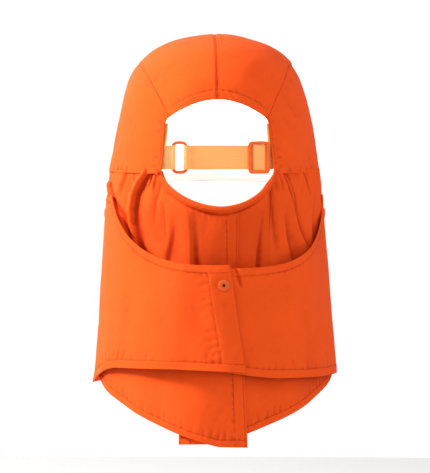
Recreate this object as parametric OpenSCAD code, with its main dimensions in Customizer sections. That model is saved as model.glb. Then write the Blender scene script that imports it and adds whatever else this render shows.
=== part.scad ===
// Sun cap with a split neck cape, a wrap-around face veil and an adjustable rear strap.
// Millimetres. +Z up, the face looks along +Y, the back opening faces -Y.
// The origin is the middle of the head opening, in the plane of the crown's hem.

/* [Cloth] */
// Thickness of a sewn cloth panel
cloth_t = 1.2; // [1:0.1:1.4]
// Gap left between two panels at a seam
seam_gap = 0.3; // [0.2:0.05:0.6]
// Width of the bindings and turned hems
binding_w = 6; // [4:0.5:8]

/* [Crown] */
// Half width of the crown at its hem
crown_half_w = 91.5; // [86:0.5:96]
// Half depth of the crown, front to back, at its hem
crown_half_d = 104; // [98:0.5:108]
// Height of the crown above its hem
crown_h = 116.5; // [108:0.5:124]
// How much the half width falls for each millimetre of height
crown_taper = 0.18; // [0.1:0.01:0.22]

/* [Back opening] */
// Half angle of the opening round the head, in degrees
open_half_a = 32.5; // [28:0.5:36]
// Height of the arch above the crown's hem
arch_top = 62.2; // [58:0.1:68]
// Height of the straight sides of the opening
arch_side = 46; // [40:0.5:50]
// Depth of the neckline below the crown's hem
neck_drop = 30.5; // [26:0.5:36]

/* [Veil and cape] */
// Half width of the veil at the crown's hem
veil_half_w = 92; // [90:0.5:94]
// Half depth of the veil
veil_half_d = 108; // [107:0.5:112]
// How much the veil widens for each millimetre downwards
veil_flare = 0.08; // [0.06:0.01:0.1]
// Height of the veil's hem at the back
veil_hem_z = -172; // [-185:1:-165]
// Height of the veil's upper edge at the middle of the back
veil_dip_z = -81.5; // [-90:0.5:-76]
// Height of the cape's hem at the middle of the back
cape_hem_z = -239; // [-250:1:-225]

/* [Brim] */
// How far the brim reaches forward of the crown
brim_reach = 66; // [50:1:80]
// Half width of the brim
brim_half_w = 80; // [76:1:86]

/* [Strap] */
// Height of the webbing
web_h = 21; // [18:0.5:22]
// Thickness of the webbing
web_t = 0.9; // [0.7:0.1:1]
// Height of the strap's middle above the crown's hem
strap_z = 11.3; // [9:0.1:15]
// Place of the slide buckle along the strap
slider_x = 36.2; // [34:0.1:37]
// Place of the ring along the strap
ring_x = -32.6; // [-34:0.1:-32]

/* [Hidden] */
orange = [0.93, 0.33, 0.09];
peach = [0.97, 0.66, 0.40];
cream = [0.95, 0.93, 0.88];

profile_p = 6.7;            // how square the crown's shoulder is
profile_q = 1.8;            // how round its top is
crown_taper_d = 0.12;       // fall of the half depth with height
seam_z = [arch_side, 90];   // side seam: height at the opening, and over the ear
front_seam_a = 140;         // angle of the seam between the side and front panels
front_top_z = 78;           // top of the front panel
arch_rise = 1.8;            // power of the arch's curve
cape_half_w = 91;           // cape at the crown's hem
cape_half_d = 102;
cape_flare = 0.05;
cape_side_a = 100;          // the cape ends just in front of the ears
lap_cape = 2.6;             // how far the under panel lies inside the other
lap_veil = 4.4;             // the same for the veil, with room for the snap
veil_side_z = -23;          // the veil's upper edge at the ears
veil_nose_z = -56;          // and over the nose
flap_a = 78;                // where the flap begins, just behind the side fold
front_a = 81;               // where the front of the veil ends
snap_x = 5;
snap_z = -99;
side_snap_y = 10.5;         // the veil hangs on the cape by a snap at each side
side_snap_z = -40;
side_snap_x = 95.2;         // distance of the veil's outer face from the middle there
snap_face = 110;            // distance of the cloth's outer face behind the origin there
strap_y = 82.5;             // distance of the strap's middle plane behind the origin
ring_bar_r = 1.4;
ring_half = [6, 12.85];     // ring: half width and half height along the bars' centres
slider_half = [9.4, 14.4];  // slide buckle: outer half width and half height
slider_bar = 3.2;
slider_lift = 1.1;          // gap between the strap's middle plane and the buckle
web_gap = 0.3;              // gap between two layers of webbing

function clamp01(t) = min(1, max(0, t));
function smooth(t) = let (c = clamp01(t)) c * c * (3 - 2 * c);
function mix(a, b, t) = a + (b - a) * t;

// ---- surfaces: a is the angle from the back, positive towards +X; d is the depth under the outer face ----

function crown_scale(z, h) = pow(max(0, 1 - pow(z / h, profile_p)), 1 / profile_q);
function crown_ring(a, z, f, d) = [
    (crown_half_w - d - crown_taper * z) * f * sin(a),
    -(crown_half_d - d - crown_taper_d * z) * f * cos(a),
    z
];
// by height, for the panels that stand on the hem
function on_crown(a, z, d) = crown_ring(a, z, crown_scale(z, crown_h - d), d);
// by the profile's own angle, 0 at the hem and 90 at the apex
function on_dome(a, t, d) = crown_ring(
    a, (crown_h - d) * pow(sin(t), 2 / profile_p), pow(max(0, cos(t)), 2 / profile_q), d);
function dome_t(z) = asin(pow(z / crown_h, profile_p / 2));

function on_cape(a, z, d) = [
    (cape_half_w - d - cape_flare * z) * sin(a), -(cape_half_d - d) * cos(a), z];
function on_veil(a, z, d) = [
    (veil_half_w - d - veil_flare * z) * sin(a), -(veil_half_d - d - 0.02 * z) * cos(a), z];

// ---- edges ----

function arch_z(a) = arch_top - (arch_top - arch_side) * pow(min(1, abs(a) / (open_half_a - 2)), arch_rise);
function side_seam_z(a) = let (u = clamp01((abs(a) - open_half_a) / (90 - open_half_a)))
    abs(a) < 90 ? mix(seam_z[0], seam_z[1], 1 - pow(1 - u, 3))
                : mix(seam_z[1], front_top_z, pow((abs(a) - 90) / 90, 2));
function top_edge_z(a) = abs(a) < open_half_a ? arch_z(a) : side_seam_z(a);
function neck_z(a) = -neck_drop * pow(max(0, 1 - pow(abs(a) / open_half_a, 1.8)), 0.65);
function cape_top_z(a) = min(-seam_gap, neck_z(a));
// s is the angle from the back, negative on the panel's own side
function cape_bottom_z(s, side) = cape_hem_z + (side < 0 ? -0.5 : 2)
    + (s < 0 ? 59 * pow(-s / 83, 1.15) : -0.6 * s / 15);
function cape_edge_a(z, side) = mix(11, side < 0 ? 14.3 : 19.6, clamp01((-z - 40) / 190));
function veil_top_z(a, side) = let (dip = veil_dip_z - (side > 0 ? 3 : 0), full = side > 0 ? 85 : 75)
    abs(a) < 90 ? mix(dip, veil_side_z, pow(min(1, abs(a) / full), side > 0 ? 3.2 : 2.6))
                : mix(veil_side_z, veil_nose_z, smooth((abs(a) - 95) / 75));
function veil_bottom_z(s, side) = let (a = abs(s), front = smooth((a - 90) / 90))
    side > 0 ? veil_hem_z - 8 - 9 * front + 7 * smooth((s + 32) / 42) + 1.5 * smooth((a - 50) / 40)
             : veil_hem_z - 3 * smooth((s + 25) / 45) - 15 * smooth((a - 55) / 38) - 2 * front;
function veil_edge_a(z, side) = mix(6.2, side < 0 ? 13.4 : 8, clamp01((-z - 82) / 90));

// ---- solids ----

// a closed skin between two grids of points, columns running upwards and rows to the right
module skin(outer, inner) {
    nu = len(outer) - 1;
    nv = len(outer[0]) - 1;
    n = (nu + 1) * (nv + 1);
    o = function (i, j) i * (nv + 1) + j;
    k = function (i, j) n + i * (nv + 1) + j;
    quad = function (a, b, c, d) [[a, b, c], [a, c, d]];
    faces = [
        for (i = [0 : nu - 1], j = [0 : nv - 1]) each concat(
            quad(o(i, j), o(i, j + 1), o(i + 1, j + 1), o(i + 1, j)),
            quad(k(i, j), k(i + 1, j), k(i + 1, j + 1), k(i, j + 1))),
        for (j = [0 : nv - 1]) each concat(
            quad(o(0, j + 1), o(0, j), k(0, j), k(0, j + 1)),
            quad(o(nu, j), o(nu, j + 1), k(nu, j + 1), k(nu, j))),
        for (i = [0 : nu - 1]) each concat(
            quad(o(i, 0), o(i + 1, 0), k(i + 1, 0), k(i, 0)),
            quad(o(i + 1, nv), o(i, nv), k(i, nv), k(i + 1, nv)))
    ];
    polyhedron(points = concat([for (r = outer) each r], [for (r = inner) each r]), faces = faces);
}

// f(u, v, depth) gives the points; u runs to the right and v upwards, both 0 to 1
module cloth(f, nu, nv, d0 = 0, d1 = cloth_t) {
    grid = function (d) [for (i = [0 : nu]) [for (j = [0 : nv]) f(i / nu, j / nv, d)]];
    skin(grid(d0), grid(d1));
}

// a ribbon of webbing standing on edge: path points are [x, distance behind the strap's middle plane]
module webbing(path, height = web_h) {
    n = len(path) - 1;
    way = function (i) let (d = path[min(n, i + 1)] - path[max(0, i - 1)]) d / norm(d);
    side = [for (i = [0 : n]) let (w = way(i)) [-w[1], w[0]] * web_t / 2];
    translate([0, -strap_y, strap_z - height / 2]) mirror([0, 1, 0]) linear_extrude(height)
        polygon(concat([for (i = [0 : n]) path[i] + side[i]], [for (i = [n : -1 : 0]) path[i] - side[i]]));
}

module rounded_rect(w, h, r) {
    square([w, h - 2 * r], center = true);
    square([w - 2 * r, h], center = true);
    for (x = [-1, 1], y = [-1, 1]) translate([x * (w / 2 - r), y * (h / 2 - r)]) circle(r, $fn = 32);
}

// a flat disc facing backwards at the snap, from depth y0 to y1 behind the origin
module snap_disc(r, y0, y1) {
    translate([snap_x, -y0, snap_z]) rotate([90, 0, 0]) cylinder(r = r, h = y1 - y0, $fn = 48);
}

// ---- crown ----

// the crown's columns: 5 over the opening, 16 over the side and 6 over half the forehead
function column_a(i) = i <= 5 ? open_half_a * i / 5 :
    i <= 21 ? mix(open_half_a, front_seam_a, (i - 5) / 16) : mix(front_seam_a, 180, (i - 21) / 6);
function top_t(z, v, d) = mix(asin(pow((z + seam_gap / 2) / (crown_h - d), profile_p / 2)), 89.5, pow(v, 1.4));
module crown_top(side) {
    color(orange) cloth(function (u, v, d)
        let (i = round(27 * (side > 0 ? u : 1 - u)), a = side * min(179.9, max(0.1, column_a(i))))
        on_dome(a, top_t(top_edge_z(a), v, d), d), 27, 13);
}
module crown_top_left() { crown_top(-1); }
module crown_top_right() { crown_top(1); }

module crown_side(side) {
    color(orange) cloth(function (u, v, d)
        let (i = round(16 * (side > 0 ? u : 1 - u)), a = side * min(front_seam_a - 0.1, column_a(5 + i)))
        on_crown(a, mix(0, side_seam_z(a) - seam_gap / 2, v), d), 16, 8);
}
module crown_side_left() { crown_side(-1); }
module crown_side_right() { crown_side(1); }

module crown_front_panel() {
    color(orange) cloth(function (u, v, d)
        let (a = mix(front_seam_a + 0.1, 360 - front_seam_a - 0.1, u), b = a > 180 ? 360 - a : a)
        on_crown(a, mix(0, side_seam_z(b) - seam_gap / 2, v), d), 12, 8);
}

module crown_seam_tape() {
    half = 4.5;
    color(orange) cloth(function (u, v, d)
        let (t = top_t(arch_top, mix(2, 11, v) / 13, d), r = norm([for (i = [0, 1]) on_dome(0, t, d)[i]]))
        on_dome(asin(mix(-half, half, u) / r), t, d), 2, 9, cloth_t + 0.8, cloth_t + 1.3);
}

module crown_lining() {
    color(cream) cloth(function (u, v, d)
        let (a = mix(70, 290, u)) on_dome(a, mix(dome_t(38), 80, pow(v, 1.5)), d), 22, 7,
        cloth_t + 1, cloth_t + 1.8);
}

module arch_facing() {
    color(orange) cloth(function (u, v, d)
        let (a = mix(-open_half_a + 3, open_half_a - 3, u)) on_crown(a, arch_z(a) + mix(0.6, 8, v), d),
        14, 1, cloth_t + 1, cloth_t + 1.7);
}

module neckline_binding() {
    color(orange) cloth(function (u, v, d)
        let (a = mix(-open_half_a, open_half_a, u)) on_cape(a, cape_top_z(a) - mix(5, 0.2, v), d),
        20, 1, -0.9, -seam_gap);
}

module sweatband() {
    color(peach) cloth(function (u, v, d)
        on_crown(mix(open_half_a - 0.1, 360 - open_half_a + 0.1, u), mix(0.5, 36, v), d), 44, 4,
        cloth_t + 0.35, cloth_t + 0.95);
}

// ---- brim: u runs across from left to right, v from the crown to the outer edge ----

module brim_layer(z0, z1, from = 0, to = 1, nu = 24, nv = 4) {
    point = function (u, v, z)
        let (b = mix(-1, 1, u), a = 180 - 55 * b, root = on_crown(a, 0, 1),
             rim = [brim_half_w * sin(90 * b), 58 + (crown_half_d - 58 + brim_reach) * pow(cos(90 * b), 0.9)],
             reach = norm(rim - [root[0], root[1]]), w = mix(from, to, v))
        [mix(root[0], rim[0], w), mix(root[1], rim[1], w), z - w * reach * tan(10 + 14 * b * b)];
    layer = function (z) [for (i = [0 : nu]) [for (j = [0 : nv]) point(i / nu, j / nv, z)]];
    skin(layer(z1), layer(z0));
}
module brim_cover_top() { color(orange) brim_layer(-1.1, -seam_gap); }
module brim_board() { color("white") brim_layer(-2.9, -1.3, 0.06, 0.97); }
module brim_cover_bottom() { color(orange) brim_layer(-4, -3.1); }
module brim_edge_binding() { color(orange) brim_layer(-4.4, 0.1, 1.01, 1.03, 24, 1); }

// ---- cape ----

// the under panel lies inside the other near the middle of the back
function lap(a, depth) = depth * (1 - smooth((a - 20) / 18));

// side -1 is the outer panel, on the left, and 1 the under panel
module cape_panel(side) {
    color(orange) difference() {
        cloth(function (u, v, d) cape_point(side < 0 ? u : 1 - u, v, d, side), 18, 8);
        side_snap_hole(side);
    }
}
function cape_point(u, v, d, side) =
    let (a = mix(-cape_side_a, 13, u), z = mix(cape_bottom_z(a, side), cape_top_z(a), v),
         b = a + (cape_edge_a(z, side) - 13) * pow(clamp01((a + 60) / 73), 3))
    on_cape(side < 0 ? b : -b, z, d + (side < 0 ? 0 : lap(-b, lap_cape)));
module cape_panel_left() { cape_panel(-1); }
module cape_panel_right() { cape_panel(1); }

// a facing sewn under the free edge of a cape panel
module cape_placket(side) {
    color(orange) cloth(function (u, v, d)
        cape_point(mix(17.02 / 18, 0.997, side < 0 ? u : 1 - u), min(0.965, max(0.035, v)), d, side),
        1, 8, cloth_t + 0.25, cloth_t + 0.65);
}
module cape_placket_left() { cape_placket(-1); }
module cape_placket_right() { cape_placket(1); }

module cape_hem(side) {
    color(orange) cloth(function (u, v, d)
        let (s = 17 / 18 * (side < 0 ? u : 1 - u),
             a = mix(-cape_side_a, 13, s), tall = cape_top_z(a) - cape_bottom_z(a, side))
        cape_point(s, mix(0, binding_w / tall, v), d, side), 17, 1, cloth_t + 0.25, cloth_t + 0.65);
}
module cape_hem_left() { cape_hem(-1); }
module cape_hem_right() { cape_hem(1); }

// ---- veil ----

module veil_front() {
    color(orange) difference() {
        cloth(function (u, v, d)
            let (a = mix(front_a, 360 - front_a, u), b = a > 180 ? 360 - a : a, s = a > 180 ? -1 : 1)
            on_veil(a, mix(veil_bottom_z(-b, s), veil_top_z(b, s), v), d), 26, 6);
        side_snap_hole(-1);
        side_snap_hole(1);
    }
}
module veil_front_edge(low, high, top) {
    color(orange) cloth(function (u, v, d)
        let (a = mix(front_a, 360 - front_a, u), b = a > 180 ? 360 - a : a, s = a > 180 ? -1 : 1,
             z = top ? veil_top_z(b, s) : veil_bottom_z(-b, s))
        on_veil(a, z + mix(low, high, v), d), 26, 1, -0.8, -seam_gap);
}
module veil_front_top_binding() { veil_front_edge(-binding_w, -0.2, true); }
module veil_front_hem() { veil_front_edge(0.2, binding_w, false); }

// a point of a flap: u from the side fold to the free edge, v from the hem to the upper edge
function flap_point(u, z0, z1, v, d, side) =
    let (a = mix(-flap_a, 10, u), low = veil_bottom_z(a, side), high = veil_top_z(a, side),
         z = mix(z0 < 0 ? high + z0 : low + z0, z1 < 0 ? high + z1 : low + z1, v),
         b = a + (veil_edge_a(z, side) - 10) * pow(clamp01((a + 40) / 50), 3))
    on_veil(side < 0 ? b : -b, z, d + (side < 0 ? 0 : lap(-b, lap_veil)));
module flap_cloth(side, u0, u1, z0, z1, nu, nv, d0, d1) {
    color(orange) cloth(function (u, v, d)
        flap_point(side < 0 ? mix(u0, u1, u) : mix(u1, u0, u), z0, z1, v, d, side), nu, nv, d0, d1);
}
module flap_panel(side) {
    difference() {
        flap_cloth(side, 0, 1, 0, -0.001, 16, 7, 0, cloth_t);
        snap_disc(2.1, snap_face - 10, snap_face + 5);
    }
}
module flap_top(side) { flap_cloth(side, 0, 0.999, -binding_w, -0.2, 16, 1, -0.8, -seam_gap); }
module flap_hem(side) { flap_cloth(side, 0, 0.999, 0.2, binding_w, 16, 1, -0.8, -seam_gap); }
module flap_placket(side) {
    difference() {
        flap_cloth(side, 14 / 16, 0.997, 8, -8, 2, 7, cloth_t + 0.2, cloth_t + 0.55);
        snap_disc(5.2, snap_face - 10, snap_face + 5);
    }
}
module veil_flap_left() { flap_panel(-1); }
module veil_flap_right() { flap_panel(1); }
module flap_left_top_binding() { flap_top(-1); }
module flap_right_top_binding() { flap_top(1); }
module flap_left_hem() { flap_hem(-1); }
module flap_right_hem() { flap_hem(1); }
module flap_left_placket() { flap_placket(-1); }
module flap_right_placket() { flap_placket(1); }

// ---- snap ----

module snap_cap() {
    color(orange) difference() {
        union() {
            snap_disc(5, snap_face + 0.1, snap_face + 1.1);
            snap_disc(4.2, snap_face + 1.1, snap_face + 1.4);
            snap_disc(1.8, snap_face - 1.8, snap_face + 0.1);
        }
        snap_disc(1.35, snap_face - 5, snap_face + 5);
        difference() {
            snap_disc(3.4, snap_face + 1.0, snap_face + 2);
            snap_disc(2.2, snap_face + 0.5, snap_face + 3);
        }
    }
}
module snap_socket() {
    color(orange) difference() {
        union() {
            snap_disc(4.5, snap_face - 2.5, snap_face - 1.9);
            snap_disc(3.2, snap_face - 3.6, snap_face - 2.5);
        }
        snap_disc(1.95, snap_face - 5, snap_face);
    }
}
module snap_stud() {
    color(orange) {
        snap_disc(4.2, snap_face - 4.3, snap_face - 3.9);
        snap_disc(1.8, snap_face - 3.9, snap_face - 2.7);
        snap_disc(1.5, snap_face - 6.4, snap_face - 4.3);
    }
}
module snap_post() {
    color(orange) difference() {
        snap_disc(4.1, snap_face - 7.1, snap_face - 6.25);
        snap_disc(1.6, snap_face - 6.5, snap_face - 6);
    }
}

// the snaps that hold the veil to the cape in front of the ears, along X
module side_disc(side, r, x0, x1) {
    translate([side * x0, side_snap_y, side_snap_z]) rotate([0, side * 90, 0]) cylinder(r = r, h = x1 - x0, $fn = 48);
}
module side_snap_hole(side) { side_disc(side, 2.1, 80, 100); }
module side_snap(side) {
    color(orange) {
        side_disc(side, 5, side_snap_x + 0.1, side_snap_x + 1.2);
        side_disc(side, 1.8, side_snap_x - 4.7, side_snap_x + 0.1);
        side_disc(side, 4.5, side_snap_x - 6.2, side_snap_x - 4.7);
    }
}
module side_snap_left() { side_snap(-1); }
module side_snap_right() { side_snap(1); }

// ---- strap ----

loop_r = ring_bar_r + 0.1 + web_t / 2;           // centre line of webbing round a ring bar
front_q = web_t / 2;                             // centre line of the front layer
back_q = -web_gap - web_t / 2;                   // centre line of the back layer
mid_q = -web_gap / 2;                            // the ring's bars lie between the layers
run_from = ring_x + ring_half[0] + 7;            // where the loops round the ring end
bight_half = 9.2;                                // half the stretch of webbing that rides with the buckle
run_to = slider_x - bight_half - 0.2;            // where that stretch starts

// half a turn round a ring bar; s is 1 round the right bar and -1 round the left one
function loop(s) = [for (i = [0 : 10]) let (t = 90 + 18 * i)
    [ring_x + s * (ring_half[0] + loop_r * cos(t)), mid_q + loop_r * sin(t)]];

module strap_webbing() {
    color(peach) webbing(concat([[run_from - 0.2, front_q]], [[run_from - 3, front_q + 0.2]],
        loop(1), [[run_from - 3, back_q - 0.2], [run_from, back_q], [44.5, back_q], [46.5, -0.9], [58, -11.4]]));
}
module strap_front_run() { color(peach) webbing([[run_from, front_q], [run_to, front_q]]); }
module strap_tab() {
    color(peach) webbing(concat([[-58, -11.3], [-46.3, -0.8], [-43.5, 0.5]], loop(-1),
        [[-45.2, -1.9], [-57.1, -12.4]]));
}
// the stitches that anchor the webbing lie on its inner face at both ends
module strap_bartacks() {
    for (p = [[52.9, -8.0, 42.4], [-51.9, -9.0, -41.6]], z = [-6, 0, 6]) color(peach)
        translate([p[0], -strap_y - p[1], strap_z + z]) rotate([0, 0, p[2]]) cube([1.2, 0.5, 1.6], center = true);
}

module strap_ring() {
    corner = 3;
    arm = [ring_half[0] - corner, ring_half[1] - corner];
    color(orange) translate([ring_x, -strap_y - mid_q, strap_z]) rotate([90, 0, 0]) {
        for (s = [-1, 1]) {
            translate([s * ring_half[0], -arm[1], 0]) rotate([-90, 0, 0])
                cylinder(r = ring_bar_r, h = 2 * arm[1], $fn = 32);
            translate([-arm[0], s * ring_half[1], 0]) rotate([0, 90, 0])
                cylinder(r = ring_bar_r, h = 2 * arm[0], $fn = 32);
        }
        for (q = [[1, 1, 0], [-1, 1, 90], [-1, -1, 180], [1, -1, 270]])
            translate([q[0] * arm[0], q[1] * arm[1], 0]) rotate([0, 0, q[2]])
                rotate_extrude(angle = 90, $fn = 64) translate([corner, 0]) circle(ring_bar_r, $fn = 32);
    }
}

// a plate of the slide buckle between two distances behind the strap's middle plane
module buckle_plate(q0, q1) {
    translate([slider_x, -strap_y - q0, strap_z]) rotate([90, 0, 0]) linear_extrude(q1 - q0) children();
}
module slider_frame() {
    window = [2 * (slider_half[0] - slider_bar), 22.6];
    color(orange) {
        buckle_plate(slider_lift, slider_lift + 3.2) difference() {
            rounded_rect(2 * slider_half[0], 2 * slider_half[1], 3);
            square(window, center = true);
        }
        buckle_plate(slider_lift + 0.4, slider_lift + 1.6) square([3, window[1] + 1], center = true);
    }
}
module strap_bight() {
    over = slider_lift + 1.7 + web_t / 2;
    half = [[bight_half, front_q], [5.6, front_q], [4.6, front_q + 0.3], [2.6, over - 0.3], [1.6, over]];
    color(peach) webbing(concat([for (p = half) [slider_x - p[0], p[1]]],
        [for (i = [len(half) - 1 : -1 : 0]) [slider_x + half[i][0], half[i][1]]]));
}

crown_top_left();
crown_top_right();
crown_side_left();
crown_side_right();
crown_front_panel();
crown_seam_tape();
crown_lining();
arch_facing();
neckline_binding();
sweatband();
brim_cover_top();
brim_board();
brim_cover_bottom();
brim_edge_binding();
cape_panel_left();
cape_panel_right();
cape_placket_left();
cape_placket_right();
cape_hem_left();
cape_hem_right();
veil_front();
veil_front_top_binding();
veil_front_hem();
strap_webbing();
strap_front_run();
strap_tab();
strap_ring();
strap_bartacks();
veil_flap_left();
flap_left_top_binding();
flap_left_hem();
flap_left_placket();
snap_cap();
snap_socket();
veil_flap_right();
flap_right_top_binding();
flap_right_hem();
flap_right_placket();
snap_stud();
snap_post();
side_snap_left();
side_snap_right();
slider_frame();
strap_bight();
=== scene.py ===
"""Sun cap with a split neck cape, a wrap-around face veil and a buckled rear strap.

The looks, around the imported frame. Lengths are in millimetres until a mesh is made.
"""
import math

import bmesh
import bpy
import numpy as np
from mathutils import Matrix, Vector


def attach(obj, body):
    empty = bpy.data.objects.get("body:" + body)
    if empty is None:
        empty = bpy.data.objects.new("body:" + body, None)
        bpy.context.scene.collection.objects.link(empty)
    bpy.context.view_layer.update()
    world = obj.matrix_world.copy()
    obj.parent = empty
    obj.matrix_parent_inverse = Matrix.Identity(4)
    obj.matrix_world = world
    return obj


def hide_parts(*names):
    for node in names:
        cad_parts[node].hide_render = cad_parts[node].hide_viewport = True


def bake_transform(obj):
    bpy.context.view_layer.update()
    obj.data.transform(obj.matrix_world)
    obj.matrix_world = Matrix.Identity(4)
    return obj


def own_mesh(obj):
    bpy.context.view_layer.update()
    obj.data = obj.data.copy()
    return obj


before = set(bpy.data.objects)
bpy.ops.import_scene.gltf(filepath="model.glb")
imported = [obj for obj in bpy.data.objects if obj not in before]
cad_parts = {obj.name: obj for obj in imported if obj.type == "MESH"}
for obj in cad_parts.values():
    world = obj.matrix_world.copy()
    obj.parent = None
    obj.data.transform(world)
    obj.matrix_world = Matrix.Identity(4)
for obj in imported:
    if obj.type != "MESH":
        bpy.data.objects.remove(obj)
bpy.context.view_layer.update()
scene = bpy.context.scene
MM = 0.001
rad, deg = np.radians, np.degrees

# -------------------- the CAD's surfaces, in millimetres
# a is the angle from the back in degrees, positive towards +X; d is the depth under the outer face
CROWN_W, CROWN_D, CROWN_H, TAPER, TAPER_D = 91.5, 104.0, 116.5, 0.18, 0.12
SHOULDER_P, TOP_Q = 6.7, 1.8
OPEN_A, ARCH_TOP, ARCH_SIDE, NECK_DROP = 32.5, 62.2, 46.0, 30.5
FRONT_SEAM_A, FRONT_TOP_Z = 140.0, 78.0
CAPE_SIDE_A, LAP_CAPE, LAP_VEIL = 100.0, 2.6, 4.4
VEIL_SIDE_Z, VEIL_NOSE_Z = -23.0, -56.0
STRAP_Y, STRAP_Z, SLIDER_X, RING_X = 82.5, 11.3, 36.2, -32.6
SNAP = (5.0, -110.0, -99.0)
# how far rows of stitches lie from their edges
MIDDLE_ROW, SEAM_ROW, OPENING_ROW, ARCH_ROW = 2.3, 2.2, 2.6, 8.2
CAPE_EDGE_ROW, CAPE_PLACKET_ROW, CAPE_HEM_ROW = 1.6, 10.4, 6.0
VEIL_TOP_ROW, VEIL_HEM_ROW, VEIL_PLACKET_ROW = 6.6, 7.2, 21.0


def mix(a, b, t):
    return a + (b - a) * t


def smooth(t):
    c = np.clip(t, 0, 1)
    return c * c * (3 - 2 * c)


def gauss(x, w):
    return np.exp(-((x / w) ** 2))


def stack(x, y, z):
    return np.stack(np.broadcast_arrays(x, y, z), axis=-1)


def unit(v):
    return v / (np.linalg.norm(v, axis=-1, keepdims=True) + 1e-12)


def run_along(P):
    """Lengths along a line of points."""
    return np.concatenate([[0], np.cumsum(np.linalg.norm(np.diff(P, axis=0), axis=-1))])


def crown_ring(a, z, f, d):
    return stack((CROWN_W - d - TAPER * z) * f * np.sin(rad(a)), -(CROWN_D - d - TAPER_D * z) * f * np.cos(rad(a)), z)


def on_crown(a, z, d=0.0):
    h = CROWN_H - d
    return crown_ring(a, z, np.maximum(0, 1 - np.clip(z / h, 0, 1) ** SHOULDER_P) ** (1 / TOP_Q), d)


def on_crown_and_below(a, z, d=0.0):
    """The crown's surface, carried straight down under its hem."""
    return on_crown(a, np.maximum(z, 0), d) + stack(0, 0, np.minimum(z, 0))


def on_dome(a, t, d=0.0):
    """The crown by the angle t up from the hem, 0, to the top, 90."""
    z = (CROWN_H - d) * np.clip(np.sin(rad(t)), 0, 1) ** (2 / SHOULDER_P)
    return crown_ring(a, z, np.clip(np.cos(rad(t)), 0, 1) ** (2 / TOP_Q), d)


def dome_t(z):
    return deg(np.arcsin(np.clip(z / CROWN_H, 0, 1) ** (SHOULDER_P / 2)))


def on_cape(a, z, d=0.0):
    return stack((91 - d - 0.05 * z) * np.sin(rad(a)), -(102 - d + 0 * z) * np.cos(rad(a)), z)


def on_veil(a, z, d=0.0):
    return stack((92 - d - 0.08 * z) * np.sin(rad(a)), -(108 - d - 0.02 * z) * np.cos(rad(a)), z)


def arch_z(a):
    return ARCH_TOP - (ARCH_TOP - ARCH_SIDE) * np.minimum(1, np.abs(a) / (OPEN_A - 2)) ** 1.8


def side_seam_z(a):
    b = np.abs(a)
    u = np.clip((b - OPEN_A) / (90 - OPEN_A), 0, 1)
    front = mix(90, FRONT_TOP_Z, np.clip((b - 90) / 90, 0, 1) ** 2)
    return np.where(b < 90, mix(ARCH_SIDE, 90, 1 - (1 - u) ** 3), front)


def top_edge_z(a):
    return np.where(np.abs(a) < OPEN_A, arch_z(a), side_seam_z(a))


def neck_z(a):
    b = a - 1.6 * (1 - np.minimum(1, np.abs(a) / OPEN_A) ** 2)
    return -(NECK_DROP + 0.8) * np.maximum(0, 1 - (np.abs(b) / OPEN_A) ** 1.8) ** 0.65


def cape_top_z(a):
    return np.minimum(-0.3, neck_z(a))


def cape_bottom_z(s, side):
    rise = 59 * (np.abs(np.minimum(s, 0)) / 83) ** 1.15
    return -239 + (-0.5 if side < 0 else 2) + np.where(s < 0, rise, -0.6 * s / 15)


def cape_edge_a(z, side):
    return mix(11, 14.3 if side < 0 else 19.6, np.clip((-z - 40) / 190, 0, 1))


def lap(a, depth):
    return depth * (1 - smooth((a - 20) / 18))


def veil_top_z(a, side):
    b = np.abs(a)
    dip, full, power = (-84.5, 85, 3.2) if side > 0 else (-81.5, 75, 2.6)
    return np.where(b < 90, mix(dip, VEIL_SIDE_Z, np.minimum(1, b / full) ** power),
                    mix(VEIL_SIDE_Z, VEIL_NOSE_Z, smooth((b - 95) / 75)))


def veil_bottom_z(s, side):
    b = np.abs(s)
    front = smooth((b - 90) / 90)
    if side > 0:
        return -172 - 8 - 9 * front + 7 * smooth((s + 32) / 42) + 1.5 * smooth((b - 50) / 40)
    return -172 - 3 * smooth((s + 25) / 45) - 15 * smooth((b - 55) / 38) - 2 * front


def veil_edge_a(z, side):
    return mix(6.2, 13.4 if side < 0 else 8, np.clip((-z - 82) / 90, 0, 1))


# -------------------- small deterministic waves
_rng = np.random.default_rng(20)
_waves = [(*_rng.uniform(-1, 1, 3), _rng.uniform(0, 6.28)) for _ in range(40)]


def wander(P, size, seed=0, n=7):
    """Smooth noise of about +-1 over points in millimetres, with features of that size."""
    out = 0
    for kx, ky, kz, ph in _waves[seed * n % 33:seed * n % 33 + n]:
        k = np.array([kx, ky, kz]) / math.sqrt(kx * kx + ky * ky + kz * kz) * (2 * math.pi / size)
        out = out + np.sin(P @ k + ph + 1.7 * np.sin(P @ (k[[1, 2, 0]] * 0.6) + ph * 2))
    return out / math.sqrt(n) / 1.2


def crumple(P, size, seed=0, sharp=0.5):
    """Thin creases of 0 to 1 that wander over the cloth."""
    w = wander(P, size, seed)
    return np.exp(-np.abs(w) / sharp) * (0.35 + 0.65 * smooth(wander(P, size * 1.4, seed + 1) * 0.9 + 0.3))


def blurred(G, n):
    """A grid smoothed by a running mean, twice, in both directions."""
    for _ in range(2):
        for axis in (0, 1):
            pad = [(0, 0), (0, 0)]
            pad[axis] = (n + 1, n)
            c = np.cumsum(np.pad(G, pad, mode="edge"), axis=axis)
            m = G.shape[axis]
            hi, lo = [slice(None)] * 2, [slice(None)] * 2
            hi[axis], lo[axis] = slice(2 * n + 1, 2 * n + 1 + m), slice(0, m)
            G = (c[tuple(hi)] - c[tuple(lo)]) / (2 * n + 1)
    return G


def ripple(s, turns, bend, slow, shift=0.0):
    """A wave along s whose length wanders."""
    return np.sin(turns * s + shift + bend * np.sin(slow * s))


def tall(P, k):
    """Points whose noise comes out stretched upward."""
    return P * np.array([1, 1, k])


def fine(P, k=0.05):
    return k * wander(P, 11, 19) + 0.03 * wander(P, 7, 22)


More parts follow.
